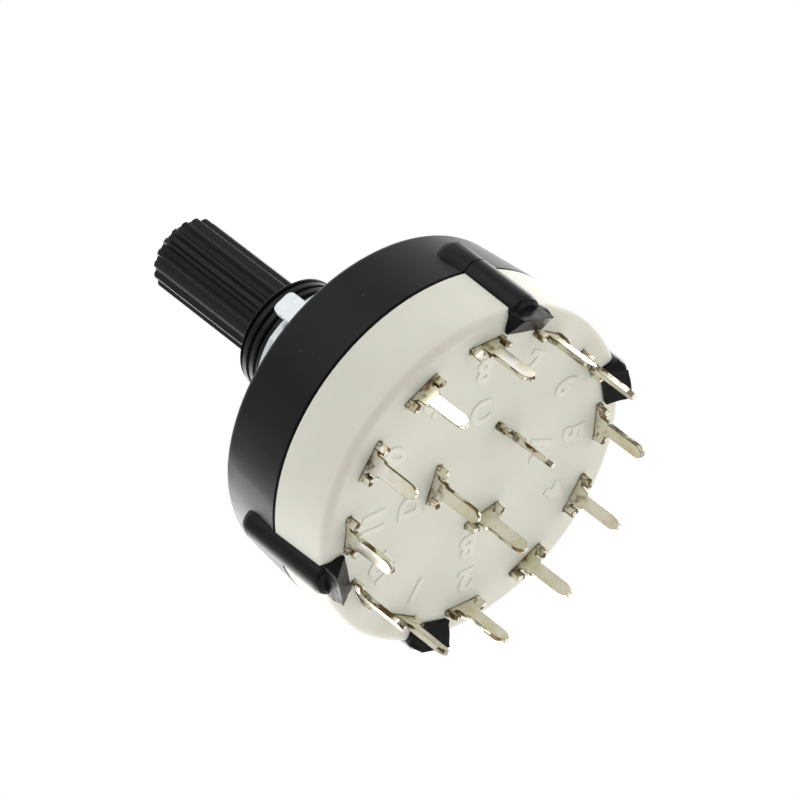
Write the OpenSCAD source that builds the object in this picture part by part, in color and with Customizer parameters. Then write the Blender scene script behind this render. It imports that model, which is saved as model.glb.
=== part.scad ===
// Panel-mount rotary switch, three poles and four positions.
// The origin is on the spindle's axis, in the plane of the boss where the panel seats.
// +Z runs along the spindle towards its tip, and +Y lies midway between terminals 12 and 1.

/* [Body] */
// Diameter of the body at the parting line between cover and base
body_d = 27.2; // [27:0.1:32]
// Taper of the cover's ring on each side, from the parting line to its front edge
cover_draft = 0.45; // [0.1:0.05:0.8]
// Taper of the base's side, from the parting line to its back edge
base_draft = 0.12; // [0.05:0.01:0.3]
// Length of the cover's ring, from its front face to the parting line
cover_len = 6.05; // [5.8:0.05:9]
// Length of the base, from the parting line to its back face
base_len = 5.3; // [4.6:0.1:8]
// Rounding of the cover's front edge
front_round = 0.6; // [0.3:0.1:1.2]
// Rounding of the base's back edge
back_round = 0.65; // [0.4:0.05:1.2]
// Small chamfer on both sides of the parting line
parting_chamfer = 0.14; // [0.05:0.01:0.25]
// Thickness of the cover's front wall
front_wall = 1.3; // [1.2:0.1:2.2]
// Thickness of the cover's ring beside the base's rim
cover_wall = 1.3; // [1.1:0.05:1.6]
// Thickness of the base's side wall
base_wall = 1.85; // [1.7:0.05:1.9]
// Thickness of the base's floor
base_floor = 2; // [1.6:0.1:2.6]
// Gap left between fixed pieces that fit into each other
fit_gap = 0.05; // [0.02:0.01:0.08]

/* [Boss and bushing] */
// Diameter of the raised boss on the cover's front
boss_d = 16.5; // [15.5:0.1:20]
// Height of the raised boss
boss_h = 2.65; // [1:0.05:3]
// Outer diameter of the threaded bushing
bushing_d = 9; // [8.6:0.1:9.4]
// Length of the bushing above the boss
bushing_len = 6.85; // [5:0.05:10]
// Chamfer on the bushing's rim
rim_chamfer = 0.45; // [0.2:0.05:0.6]
// Depth from the thread's crests to the plain neck that the nut sits on
neck_depth = 0.25; // [0.2:0.05:0.4]

/* [Legs] */
// Angles of the four legs about the axis
leg_angles = [60, 120, 240, 300];
// Width of a leg and of the round rib that it forms outside
leg_w = 2.6; // [2:0.1:2.7]
// How far a rib stands out from the body
rib_proud = 0.75; // [0.6:0.05:1.1]
// Distance from the cover's front face to the start of a rib
rib_start = 2.75; // [1.2:0.05:3]
// How far a rib runs past the back face
rib_end = 0.15; // [0:0.05:0.4]
// Rounding of a rib's front end
rib_top_round = 0.75; // [0.4:0.05:1]
// Rounding of a rib's back end
rib_end_round = 0.5; // [0.3:0.05:0.8]
// Width of the staked end of a leg at its widest
flare_w = 3.4; // [3:0.1:3.8]
// Height above the back face at which a leg starts to widen
flare_rise = 0.7; // [0.5:0.05:1]
// Distance from the back face to the widest part of the staked end
flare_drop = 0.4; // [0.25:0.05:0.6]
// Length of the ridge along the staked end
ridge_len = 2.8; // [2.4:0.1:3]
// How far the ridge stands behind the back face
ridge_proud = 1.45; // [1:0.05:1.7]
// Distance from the ridge in to the body's largest radius
ridge_inset = 0.2; // [0.1:0.05:0.4]
// How far the staked end laps over the base's back face
flare_lap = 0.5; // [0.3:0.05:0.7]

/* [Nut and washers] */
// Size of the nut across its flats
nut_af = 11; // [10.6:0.1:11]
// Thickness of the nut
nut_h = 2.5; // [1.6:0.1:3]
// Angle of one of the nut's corners about the axis
nut_angle = 53; // [0:1:60]
// Width of the locating washer's ring
washer_ring = 1.65; // [1.25:0.05:1.85]
// Thickness of the locating washer
washer_t = 0.5; // [0.3:0.05:0.6]
// Width of the washer's tab
tab_w = 1.9; // [1.5:0.1:2.6]
// Height of the tab's tip above the boss
tab_tip = 3.6; // [2.5:0.1:5]
// Distance from the axis to the tab's outer face
tab_r = 7.05; // [7.05:0.05:7.8]
// Angle of the tab about the axis
tab_angle = 195.5; // [180:0.5:210]
// Inner bend radius of the tab
tab_bend = 0.15; // [0.1:0.05:0.2]
// Width of the shakeproof washer's ring
lock_ring = 0.85; // [0.75:0.05:1.15]
// Thickness of the shakeproof washer
lock_t = 0.45; // [0.3:0.05:0.5]
// Number of teeth inside the shakeproof washer
lock_teeth = 12; // [8:1:16]
// Width of the slots between the teeth
lock_slot = 0.8; // [0.5:0.05:1]
// Width of the closed rim outside the slots
lock_rim = 0.4; // [0.3:0.05:0.5]

/* [Spindle] */
// Diameter of the spindle's shaft over the knurl
shaft_d = 6; // [5.8:0.05:6]
// Diameter of the plain journal that turns in the bushing
journal_d = 6.1; // [6.05:0.05:6.4]
// Distance from the boss's seating plane to the spindle's tip
shaft_len = 18.4; // [14:0.2:30]
// Number of knurl teeth
knurl_teeth = 18; // [18:18:36]
// Depth of the knurl
knurl_depth = 0.3; // [0.15:0.05:0.4]
// Chamfer on the spindle's tip
tip_chamfer = 0.15; // [0.1:0.05:0.8]
// Radial running gap between the spindle and its bearings
run_gap = 0.05; // [0.02:0.01:0.1]
// Thickness of the rotor disc
rotor_h = 3.8; // [3.7:0.05:4]
// Axial play of the rotor under the front wall
rotor_play = 0.1; // [0.05:0.05:0.2]
// Diameter of the rotor's lower hub
hub_d = 4.2; // [3.6:0.1:4.6]
// Diameter of the pivot that turns in the base's floor
pivot_d = 2.8; // [2.4:0.1:3]
// Depth of the pivot below the floor's inner face
pivot_depth = 1; // [0.6:0.1:1.1]

/* [Detent and stop] */
// Number of detent notches round the cover
notch_count = 12; // [12:12:24]
// Number of switch positions
positions = 4; // [2:1:4]
// Distance from the body's largest radius in to the crest between two notches
crest_inset = 4; // [3.6:0.05:4.1]
// Depth of a notch
notch_depth = 0.5; // [0.3:0.05:0.6]
// Diameter of a detent ball
ball_d = 2.4; // [2:0.1:2.4]
// Distance that the ball stays behind the crests, so that the rotor can turn past them
ball_back = 0.06; // [0.05:0.01:0.1]
// Radial gap between the rotor disc and the crests
rotor_gap = 0.3; // [0.2:0.05:0.5]
// Outer diameter of a detent spring
spring_d = 2; // [1.6:0.1:2.1]
// Diameter of the spring's wire
spring_wire = 0.3; // [0.2:0.05:0.35]
// Turns of the spring
spring_turns = 5; // [4:1:7]
// Distance from the ball's centre in to the spring's seat
spring_room = 4.14; // [3.84:0.1:4.34]
// Thickness of the stop lug on the rotor
lug_h = 0.7; // [0.5:0.05:0.8]
// Gap between the end of the stop lug and the cover's ring
lug_room = 0.5; // [0.3:0.1:1.3]
// Half of the angle that the stop lug takes up
lug_half = 8; // [6:0.5:10]
// Angle of the stop lug about the axis in the first position
lug_angle = 130; // [120:1:140]
// Angular play between the lug and the stops
stop_play = 0.8; // [0.4:0.1:1.5]

/* [Contacts] */
// Number of outer contacts
terminal_count = 12; // [12:12:12]
// Distance from the body's largest radius in to the outer contact pins
terminal_inset = 2.2; // [2.2:0.05:2.3]
// Number of common contacts, one for each pole
pole_count = 3; // [3:3:3]
// Distance from the axis to the common contact pins
common_r = 3.92; // [3.9:0.01:4.1]
// Thickness of the contact sheet
sheet_t = 0.4; // [0.3:0.05:0.45]
// Length of the contact pins behind the back face
pin_len = 4.8; // [3:0.1:8]
// Width of a contact pin
pin_w = 1; // [0.8:0.05:1.2]
// Length of a pin's tapered tip
tip_len = 0.6; // [0.4:0.05:1]
// Width of a pin's blunt tip
tip_w = 0.4; // [0.3:0.05:0.5]
// Width of the pin's shoulder beside the back face
shoulder_w = 1.35; // [1.25:0.05:1.6]
// Length of the pin's shoulder
shoulder_len = 1.15; // [1:0.05:1.6]
// Width of the contact where it passes through the floor
head_w = 3.05; // [2.9:0.05:3.3]
// Height of the head's bar behind the back face
head_bar = 0.3; // [0.2:0.05:0.4]
// Width of a locking ear
ear_w = 0.65; // [0.5:0.05:0.7]
// Length of a locking ear behind the back face
ear_len = 0.9; // [0.7:0.05:1.2]
// Twist of a locking ear
ear_twist = 32; // [15:1:40]
// Width of an outer contact's pad
pad_w = 2.6; // [2:0.1:2.8]
// Length of an outer contact's pad
pad_len = 3; // [2.6:0.1:3.2]
// Inner radius of a common contact's arc
arc_in_r = 3; // [2.8:0.05:3.1]
// Outer radius of a common contact's arc
arc_out_r = 6.2; // [6:0.1:6.8]
// Angle that a common contact's arc spans
arc_span = 110; // [106:1:114]

/* [Wipers] */
// Thickness of a wiper's strip
wiper_t = 0.2; // [0.15:0.05:0.25]
// Width of a wiper's strip
wiper_w = 1.8; // [1.4:0.1:2.2]
// Distance from the axis to a wiper's inner contact point
wiper_in_r = 4.7; // [4.5:0.1:5]
// Distance from the outer contact pins in to a wiper's outer contact point
wiper_inset = 1.45; // [1.2:0.05:1.8]
// Rise of a wiper from its contact points to its seat
wiper_rise = 1.65; // [1.2:0.05:2]
// Gap between a wiper and the pads that it slides over
wiper_gap = 0.05; // [0.03:0.01:0.1]
// Length of the seat that holds a wiper
seat_len = 2.4; // [2.2:0.1:2.8]
// Width of the carrier bar above a wiper
carrier_w = 2.4; // [2:0.1:2.8]
// Diameter of the two posts that hold a wiper
post_d = 0.8; // [0.6:0.05:0.9]
// Distance between the two posts
post_pitch = 1.3; // [1.2:0.05:1.5]

/* [Hidden] */
$fn = 96;
// Heights of the body's faces
front_z = -boss_h;
part_z = front_z - cover_len;
back_z = part_z - base_len;
floor_z = back_z + base_floor;
ceiling_z = front_z - front_wall;
pad_z = floor_z + sheet_t;
// Radii of the body's walls
body_r = body_d / 2;
rim_r = body_r - cover_wall;
well_r = body_r - base_wall;
terminal_r = body_r - terminal_inset;
// Legs
rib_r = leg_w / 2;
rib_centre_r = body_r + rib_proud - rib_r;
web_half = rib_r - 0.1;
ridge_r = body_r - ridge_inset;
lap_r = rim_r - flare_lap;
// Rotor, detent and stop
pole_step = 360 / pole_count;
step_angle = 360 / notch_count;
swing = (positions - 1) * step_angle;
bore_r = journal_d / 2 + run_gap;
crest_r = body_r - crest_inset;
rotor_top = ceiling_z - rotor_play;
rotor_z = rotor_top - rotor_h;
rotor_r = crest_r - rotor_gap;
pocket_r = ball_d / 2 + run_gap;
ball_z = rotor_z + lug_h + pocket_r;
ball_r = crest_r - ball_back - ball_d / 2;
notch_r = ball_d / 2 + 0.15;
spring_seat_r = ball_r - spring_room;
lug_r = rim_r - lug_room;
lug_gap = 0.1;
stop_r = crest_r + 0.2;
groove_top = rotor_z + lug_h + lug_gap;
groove_z = rotor_z - lug_gap;
rim_top = groove_z - fit_gap;
// Contacts and wipers
terminal_step = 360 / terminal_count;
first_terminal = 75;
wiper_top = pad_z + wiper_rise;
wiper_out_r = terminal_r - wiper_inset;
seat_r = (wiper_in_r + wiper_out_r) / 2;
post_head = 0.2;
toe = 0.5;
toe_rise = 0.4;
// Nut and washers
thread_r = bushing_d / 2;
neck_r = thread_r - neck_depth;
washer_bore_r = thread_r + fit_gap;
washer_r = washer_bore_r + washer_ring;
lock_r = washer_bore_r + lock_ring;
lock_z = washer_t;
nut_z = lock_z + lock_t;
nut_top = nut_z + nut_h;
nut_bore_r = neck_r + fit_gap;
nut_r = nut_af / sqrt(3);
nut_chamfer = 33;

// Point where a line from p touches the circle of radius f about c, on its outer side
function touch(c, f, p, side) =
  let (d = p - c, a = atan2(d[1], d[0]) + side * acos(f / norm(d)))
  c + f * [cos(a), sin(a)];

// Half profile of a tapered disc with a rounded edge, from the edge height z to the parting line
module rim_profile(edge_r, z, f, side) {
  inset = side * f;
  c = [edge_r - f, z - inset];
  corner = [body_r, part_z + side * parting_chamfer];
  t = touch(c, f, corner, side);
  chamfer = [body_r - parting_chamfer, part_z];
  polygon([[0, z], [c[0], z], c, t, corner, chamfer, [0, part_z]]);
  translate(c) circle(r = f);
}

// Wedge between two angles, as tall and wide as asked
module wedge(from, to, r, z, h) {
  reach = r / cos((to - from) / 4);
  points = [for (i = [0:2]) let (a = from + (to - from) * i / 2) reach * [cos(a), sin(a)]];
  translate([0, 0, z]) linear_extrude(h) polygon(concat([[0, 0]], points));
}

// Boss and bushing in one outline: the free thread at its crests above the neck inside the nut
module boss_profile() {
  boss_r = boss_d / 2;
  edge = 0.25;
  root_z = front_z - front_wall / 2;
  polygon([
    [0, root_z], [boss_r, root_z], [boss_r, -edge], [boss_r - edge, 0],
    [neck_r, 0], [neck_r, nut_top - neck_depth], [thread_r, nut_top],
    [thread_r, bushing_len - rim_chamfer], [thread_r - rim_chamfer, bushing_len], [0, bushing_len]
  ]);
}

// Round rib outside the body and the straight web behind it
module leg_rib() {
  top = front_z - rib_start;
  bottom = back_z - rib_end;
  knee = 1 - 1 / sqrt(2);
  web_top = part_z + 0.6;
  web_z = back_z + flare_rise / 2;
  web_in_r = lap_r;
  end_knee = rib_end_round * knee;
  top_knee = rib_top_round * knee;
  translate([rib_centre_r, 0, 0]) rotate_extrude() polygon([
    [0, bottom], [rib_r - rib_end_round, bottom], [rib_r - end_knee, bottom + end_knee],
    [rib_r, bottom + rib_end_round], [rib_r, top - rib_top_round], [rib_r - top_knee, top - top_knee],
    [rib_r - rib_top_round, top], [0, top]
  ]);
  translate([web_in_r, -web_half, web_z])
    cube([body_r - base_draft - web_in_r, 2 * web_half, web_top - web_z]);
}

// Outline of the staked end, seen along the radius, with room all round
module flare_front(room) {
  half = flare_w / 2 + room;
  neck = web_half - 0.05 + room;
  foot = ridge_len / 2 + room;
  top = back_z + flare_rise + room;
  shoulder_z = back_z + flare_rise / 3;
  polygon([
    [-neck, top + 0.2], [-neck, top], [-(neck + 2 * half) / 3, shoulder_z], [-half, back_z - flare_drop],
    [-foot, back_z - ridge_proud], [foot, back_z - ridge_proud],
    [half, back_z - flare_drop], [(neck + 2 * half) / 3, shoulder_z], [neck, top], [neck, top + 0.2]
  ]);
}

// Outline of the staked end, seen along the tangent: it laps over the base and slopes out to the ridge
module flare_side() {
  top = back_z + flare_rise;
  polygon([
    [lap_r, back_z - fit_gap], [rim_r, back_z - fit_gap], [rim_r, top], [ridge_r, top],
    [ridge_r, back_z - ridge_proud], [lap_r, back_z - flare_drop]
  ]);
}

// Staked end of a leg: a swallow tail with a ridge along its outer edge
module leg_flare() {
  intersection() {
    translate([lap_r - 1, 0, 0]) rotate([90, 0, 90]) linear_extrude(body_r - lap_r + 1) flare_front(0);
    rotate([90, 0, 0]) linear_extrude(flare_w + 1, center = true) flare_side();
  }
}

module cover() {
  color("#37373a") union() {
    difference() {
      union() {
        rotate_extrude() rim_profile(body_r - cover_draft, front_z, front_round, 1);
        rotate_extrude() boss_profile();
        for (a = leg_angles) rotate([0, 0, a]) leg_rib();
      }
      translate([0, 0, ceiling_z - 1]) cylinder(r = bore_r, h = bushing_len - ceiling_z + 2);
      translate([0, 0, groove_z]) linear_extrude(ceiling_z - groove_z) notch_ring();
      translate([0, 0, groove_z]) cylinder(r = stop_r, h = groove_top - groove_z);
      stop_groove();
      translate([0, 0, back_z - 1]) cylinder(r = rim_r, h = groove_z - back_z + 1);
    }
    for (a = leg_angles) rotate([0, 0, a]) leg_flare();
  }
}

// Outline of the well that the rotor turns in, with a notch for each detent position
module notch_ring() {
  circle(r = crest_r);
  for (i = [0:notch_count - 1]) rotate(i * step_angle)
    translate([crest_r + notch_depth - notch_r, 0]) circle(r = notch_r);
}

// Room in which the stop lug swings, closed at both ends by the stops
module stop_groove() {
  start = lug_angle - swing - lug_half - stop_play;
  end = lug_angle + lug_half + stop_play;
  intersection() {
    translate([0, 0, groove_z]) cylinder(r = rim_r, h = groove_top - groove_z);
    wedge(start, end, rim_r + 1, groove_z - 1, groove_top - groove_z + 2);
  }
}

// Room for a leg and its staked end in the base's side
module leg_notch() {
  half = rib_r + fit_gap;
  wall_in_r = rim_r - fit_gap;
  past = 1;
  reach = body_r + past - wall_in_r;
  difference() {
    union() {
      translate([wall_in_r - past, -half, back_z - past])
        cube([reach + past, 2 * half, rim_top - back_z + 2 * past]);
      translate([wall_in_r - past, 0, 0]) rotate([90, 0, 90]) linear_extrude(reach + past) flare_front(fit_gap);
    }
    translate([0, 0, back_z - 2 * past]) cylinder(r = wall_in_r, h = rim_top - back_z + 4 * past);
  }
}

module base() {
  color("#e4e2da") difference() {
    union() {
      rotate_extrude() rim_profile(body_r - base_draft, back_z, back_round, -1);
      translate([0, 0, part_z - 1]) cylinder(r = rim_r - fit_gap, h = rim_top - part_z + 1);
    }
    translate([0, 0, floor_z]) cylinder(r = well_r, h = rim_top - floor_z + 1);
    translate([0, 0, floor_z - pivot_depth - fit_gap]) cylinder(r = pivot_d / 2 + run_gap, h = pivot_depth + 1);
    for (a = leg_angles) rotate([0, 0, a]) leg_notch();
    for (i = [0:terminal_count - 1]) rotate([0, 0, first_terminal - i * terminal_step]) contact_slot(terminal_r);
    for (i = [0:pole_count - 1]) rotate([0, 0, pole_angle(i)]) contact_slot(common_r);
  }
}

function pole_angle(i) = 30 - i * pole_step;

// Slot through the floor for a contact's head
module contact_slot(r) {
  translate([r, 0, back_z - 1])
    translate([-sheet_t / 2 - fit_gap, -head_w / 2 - fit_gap, 0])
      cube([sheet_t + 2 * fit_gap, head_w + 2 * fit_gap, base_floor + 2]);
}

// Stamped outline of a contact, with its shoulder, pin and tapered tip, set across the radius
module contact_blade() {
  half = pin_w / 2;
  stem_z = back_z - shoulder_len;
  tip_z = back_z - pin_len;
  shoulder_slope = 0.2;
  bulge = 0.07;
  mid_half = (pin_w + tip_w) / 4 + bulge;
  translate([-sheet_t / 2, 0, 0]) rotate([90, 0, 90]) linear_extrude(sheet_t)
    polygon([
      [-head_w / 2, floor_z], [-head_w / 2, back_z - head_bar], [-head_w / 2 + ear_w, back_z - head_bar],
      [-shoulder_w / 2, back_z - head_bar - 0.2], [-shoulder_w / 2, stem_z],
      [-half, stem_z - shoulder_slope], [-half, tip_z + tip_len], [-mid_half, tip_z + tip_len / 2],
      [-tip_w / 2, tip_z], [tip_w / 2, tip_z], [mid_half, tip_z + tip_len / 2], [half, tip_z + tip_len],
      [half, stem_z - shoulder_slope], [shoulder_w / 2, stem_z],
      [shoulder_w / 2, back_z - head_bar - 0.2], [head_w / 2 - ear_w, back_z - head_bar],
      [head_w / 2, back_z - head_bar], [head_w / 2, floor_z]
    ]);
  for (side = [-1, 1]) translate([0, side * (head_w - ear_w) / 2, back_z - ear_len])
    rotate([0, 0, side * ear_twist]) translate([-sheet_t / 2, -ear_w / 2, 0])
      cube([sheet_t, ear_w, ear_len - fit_gap]);
}

module terminal(number) {
  color("#cfc9ae") rotate([0, 0, first_terminal - (number - 1) * terminal_step]) union() {
    translate([terminal_r, 0, 0]) contact_blade();
    translate([terminal_r - pad_len + sheet_t / 2, -pad_w / 2, floor_z]) cube([pad_len, pad_w, sheet_t]);
  }
}

module common(pole) {
  color("#cfc9ae") rotate([0, 0, pole_angle(pole)]) union() {
    translate([common_r, 0, 0]) contact_blade();
    intersection() {
      translate([0, 0, floor_z]) difference() {
        cylinder(r = arc_out_r, h = sheet_t);
        translate([0, 0, -1]) cylinder(r = arc_in_r, h = sheet_t + 2);
      }
      wedge(-arc_span / 2, arc_span / 2, arc_out_r + 1, floor_z - 1, sheet_t + 2);
    }
  }
}

// Knurled outline with narrow flat crests
module knurl_outline() {
  root_r = shaft_d / 2 - knurl_depth;
  pitch = 360 / knurl_teeth;
  polygon([for (i = [0:knurl_teeth - 1], p = [[-0.3, root_r], [-0.07, shaft_d / 2], [0.07, shaft_d / 2], [0.3, root_r]])
    p[1] * [cos((i + p[0]) * pitch), sin((i + p[0]) * pitch)]]);
}

module spindle() {
  journal_top = bushing_len - rim_chamfer;
  merge = 0.5;
  hub_play = 0.25;
  color("#2e2e31") difference() {
    union() {
      intersection() {
        translate([0, 0, journal_top - merge]) linear_extrude(shaft_len - journal_top + merge) knurl_outline();
        rotate_extrude() polygon([
          [0, journal_top - 2 * merge], [shaft_d, journal_top - 2 * merge],
          [shaft_d, shaft_len - tip_chamfer - shaft_d / 2], [shaft_d / 2 - tip_chamfer, shaft_len], [0, shaft_len]
        ]);
      }
      translate([0, 0, rotor_top - merge]) cylinder(d = journal_d, h = journal_top - rotor_top + merge);
      translate([0, 0, rotor_z]) cylinder(r = rotor_r, h = rotor_h);
      translate([0, 0, floor_z + hub_play]) cylinder(d = hub_d, h = rotor_z - floor_z);
      translate([0, 0, floor_z - pivot_depth]) cylinder(d = pivot_d, h = pivot_depth + 2 * merge);
      stop_lug();
      for (i = [0:pole_count - 1]) rotate([0, 0, wiper_angle(i)]) wiper_carrier();
    }
    for (side = [0, 180]) rotate([0, 0, side]) translate([spring_seat_r, 0, ball_z])
      rotate([0, 90, 0]) cylinder(r = pocket_r, h = rotor_r);
  }
}

function wiper_angle(i) = first_terminal - i * pole_step;

module stop_lug() {
  intersection() {
    translate([0, 0, rotor_z]) cylinder(r = lug_r, h = lug_h);
    wedge(lug_angle - lug_half, lug_angle + lug_half, lug_r + 1, rotor_z - 1, lug_h + 2);
  }
}

// Bar under the rotor with the two headed posts that hold a wiper
module wiper_carrier() {
  merge = 0.4;
  translate([seat_r - seat_len / 2, -carrier_w / 2, wiper_top])
    cube([seat_len, carrier_w, rotor_z - wiper_top + merge]);
  for (side = [-1, 1]) translate([seat_r + side * post_pitch / 2, 0, wiper_top - wiper_t - post_head]) {
    cylinder(d = post_d, h = wiper_t + post_head + merge);
    cylinder(d = post_d + 0.25, h = post_head - fit_gap);
  }
}

// Spring strip folded down on both sides of its seat, with an upturned toe at each end
module wiper(pole) {
  low = pad_z + wiper_gap;
  flat = seat_len / 2 - 0.1;
  line = [
    [wiper_in_r - toe - 0.35, low + toe_rise], [wiper_in_r - toe / 2, low], [wiper_in_r + toe / 2, low],
    [seat_r - flat, wiper_top - wiper_t], [seat_r + flat, wiper_top - wiper_t],
    [wiper_out_r - toe / 2, low], [wiper_out_r + toe / 2, low], [wiper_out_r + toe + 0.35, low + toe_rise]
  ];
  rise = [0, wiper_t];
  outline = concat(line, [for (i = [len(line) - 1:-1:0]) line[i] + rise]);
  color("#c9a56a") rotate([0, 0, wiper_angle(pole)]) difference() {
    rotate([90, 0, 0]) linear_extrude(wiper_w, center = true) polygon(outline);
    for (side = [-1, 1]) translate([seat_r + side * post_pitch / 2, 0, wiper_top - 1])
      cylinder(d = post_d + 2 * fit_gap, h = 2);
  }
}

module detent_ball(side) {
  color("#b9bcc0") rotate([0, 0, side * 180]) translate([ball_r, 0, ball_z]) sphere(d = ball_d);
}

// Helix of round wire, swept as rings of points
module detent_spring(side) {
  sides = 8;
  per_turn = 16;
  coil_r = (spring_d - spring_wire) / 2;
  start = spring_seat_r + spring_wire / 2 + fit_gap;
  end = ball_r - sqrt(pow(ball_d / 2, 2) - pow(coil_r, 2)) - spring_wire / 2 - fit_gap;
  rings = spring_turns * per_turn;
  points = [for (i = [0:rings], k = [0:sides - 1])
    let (a = i * 360 / per_turn, b = k * 360 / sides, r = coil_r + spring_wire / 2 * cos(b))
    [start + (end - start) * i / rings + spring_wire / 2 * sin(b), r * cos(a), r * sin(a)]];
  walls = [for (i = [0:rings - 1], k = [0:sides - 1])
    let (n = (k + 1) % sides) [i * sides + k, i * sides + n, (i + 1) * sides + n, (i + 1) * sides + k]];
  caps = [[for (k = [sides - 1:-1:0]) k], [for (k = [0:sides - 1]) rings * sides + k]];
  color("#a9acb0") rotate([0, 0, side * 180]) translate([0, 0, ball_z]) polyhedron(points, concat(walls, caps));
}

module hex_nut() {
  land_r = nut_af / 2 - 0.15;
  outer_r = nut_r + 0.2;
  cone_h = (outer_r - land_r) * tan(nut_chamfer);
  lead = 0.3;
  color("#c3c5c8") translate([0, 0, nut_z]) difference() {
    intersection() {
      rotate([0, 0, nut_angle]) cylinder(r = nut_r, h = nut_h, $fn = 6);
      rotate_extrude() polygon([
        [0, 0], [land_r, 0], [outer_r, cone_h], [outer_r, nut_h - cone_h], [land_r, nut_h], [0, nut_h]
      ]);
    }
    translate([0, 0, -1]) cylinder(r = nut_bore_r, h = nut_h + 2);
    translate([0, 0, nut_h - lead]) cylinder(r1 = nut_bore_r, r2 = nut_bore_r + 2 * lead, h = 2 * lead);
    translate([0, 0, -lead]) cylinder(r1 = nut_bore_r + 2 * lead, r2 = nut_bore_r, h = 2 * lead);
  }
}

// Ring with a row of teeth cut into its bore
module lock_washer() {
  slot_r = lock_r - lock_rim;
  color("#aeb0b3") translate([0, 0, lock_z]) linear_extrude(lock_t) difference() {
    circle(r = lock_r);
    circle(r = washer_bore_r);
    for (i = [0:lock_teeth - 1]) rotate(i * 360 / lock_teeth)
      translate([0, -lock_slot / 2]) square([slot_r, lock_slot]);
  }
}

// Flat washer whose tab is bent up beside the nut
module tab_washer() {
  reach = tab_r - washer_t;
  bend_out = tab_bend + washer_t;
  corner = 0.5;
  color("#d9dadc") union() {
    linear_extrude(washer_t) difference() {
      circle(r = washer_r);
      circle(r = washer_bore_r);
    }
    rotate([0, 0, tab_angle]) intersection() {
      rotate([90, 0, 0]) linear_extrude(tab_w, center = true) {
        translate([washer_bore_r + 0.4, 0]) square([tab_r - bend_out - washer_bore_r - 0.4, washer_t]);
        translate([reach, bend_out]) square([washer_t, tab_tip - bend_out]);
        translate([tab_r - bend_out, bend_out]) difference() {
          circle(r = bend_out);
          circle(r = tab_bend);
          translate([-bend_out - 1, -bend_out - 1]) square([bend_out + 1, 2 * bend_out + 2]);
          translate([-bend_out - 1, 0]) square([2 * bend_out + 2, bend_out + 1]);
        }
      }
      rotate([90, 0, 90]) linear_extrude(tab_r + 1) union() {
        translate([-tab_w / 2, -1]) square([tab_w, tab_tip + 1 - corner]);
        translate([-tab_w / 2 + corner, -1]) square([tab_w - 2 * corner, tab_tip + 1]);
        for (side = [-1, 1]) translate([side * (tab_w / 2 - corner), tab_tip - corner]) circle(r = corner, $fn = 48);
      }
    }
  }
}

cover();
base();
spindle();
wiper(0);  // wiper_a
wiper(1);  // wiper_b
wiper(2);  // wiper_c
detent_ball(0);  // detent_ball_a
detent_ball(1);  // detent_ball_b
detent_spring(0);  // detent_spring_a
detent_spring(1);  // detent_spring_b
hex_nut();
lock_washer();
tab_washer();
common(0);  // common_a
common(1);  // common_b
common(2);  // common_c
terminal(1);  // terminal_1
terminal(2);  // terminal_2
terminal(3);  // terminal_3
terminal(4);  // terminal_4
terminal(5);  // terminal_5
terminal(6);  // terminal_6
terminal(7);  // terminal_7
terminal(8);  // terminal_8
terminal(9);  // terminal_9
terminal(10);  // terminal_10
terminal(11);  // terminal_11
terminal(12);  // terminal_12
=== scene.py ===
import math

import bmesh
import bpy
from mathutils import Matrix, Vector, noise


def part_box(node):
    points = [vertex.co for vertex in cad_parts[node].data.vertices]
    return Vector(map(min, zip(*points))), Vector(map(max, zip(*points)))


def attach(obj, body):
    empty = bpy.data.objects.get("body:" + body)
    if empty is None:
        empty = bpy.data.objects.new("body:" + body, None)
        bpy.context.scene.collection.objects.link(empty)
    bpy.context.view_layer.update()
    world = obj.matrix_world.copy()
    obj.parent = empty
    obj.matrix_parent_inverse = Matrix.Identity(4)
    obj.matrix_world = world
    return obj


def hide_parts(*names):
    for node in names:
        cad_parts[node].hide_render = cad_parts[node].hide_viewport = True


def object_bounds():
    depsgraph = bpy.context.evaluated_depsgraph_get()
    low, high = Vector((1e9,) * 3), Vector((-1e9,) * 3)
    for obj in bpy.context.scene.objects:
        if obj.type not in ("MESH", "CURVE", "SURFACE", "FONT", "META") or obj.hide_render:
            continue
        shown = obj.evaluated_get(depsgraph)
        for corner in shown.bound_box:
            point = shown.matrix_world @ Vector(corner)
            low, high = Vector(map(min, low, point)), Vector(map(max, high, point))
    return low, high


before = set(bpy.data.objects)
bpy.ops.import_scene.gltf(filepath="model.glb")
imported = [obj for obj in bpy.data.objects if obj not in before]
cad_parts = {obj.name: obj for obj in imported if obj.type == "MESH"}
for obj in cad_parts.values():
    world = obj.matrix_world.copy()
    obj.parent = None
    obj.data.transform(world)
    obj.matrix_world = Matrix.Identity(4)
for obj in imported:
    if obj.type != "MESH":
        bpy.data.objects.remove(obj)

cad_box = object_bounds()

# Camera
# A long lens looks up at the back of the switch, so that the pins point at the viewer and the shaft
# runs away to the upper left.
MM = 0.001
AIM = Vector((2.1, -1.0, -3.4)) * MM
DISTANCE = 430 * MM
LENS = 273.9
VIEW_AZIMUTH = math.radians(2.40)
VIEW_ELEVATION = math.radians(36.13)
ROLL = math.radians(-52.43)
view = Vector((
    math.cos(VIEW_ELEVATION) * math.cos(VIEW_AZIMUTH),
    math.cos(VIEW_ELEVATION) * math.sin(VIEW_AZIMUTH),
    math.sin(VIEW_ELEVATION),
))
level_right = view.cross(Vector((0, 0, 1))).normalized()
level_up = level_right.cross(view)
right = math.cos(ROLL) * level_right + math.sin(ROLL) * level_up
up = right.cross(view)


def new_object(name, data):
    """An object with this data, linked to the scene."""
    made = bpy.data.objects.new(name, data)
    bpy.context.scene.collection.objects.link(made)
    return made


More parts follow.
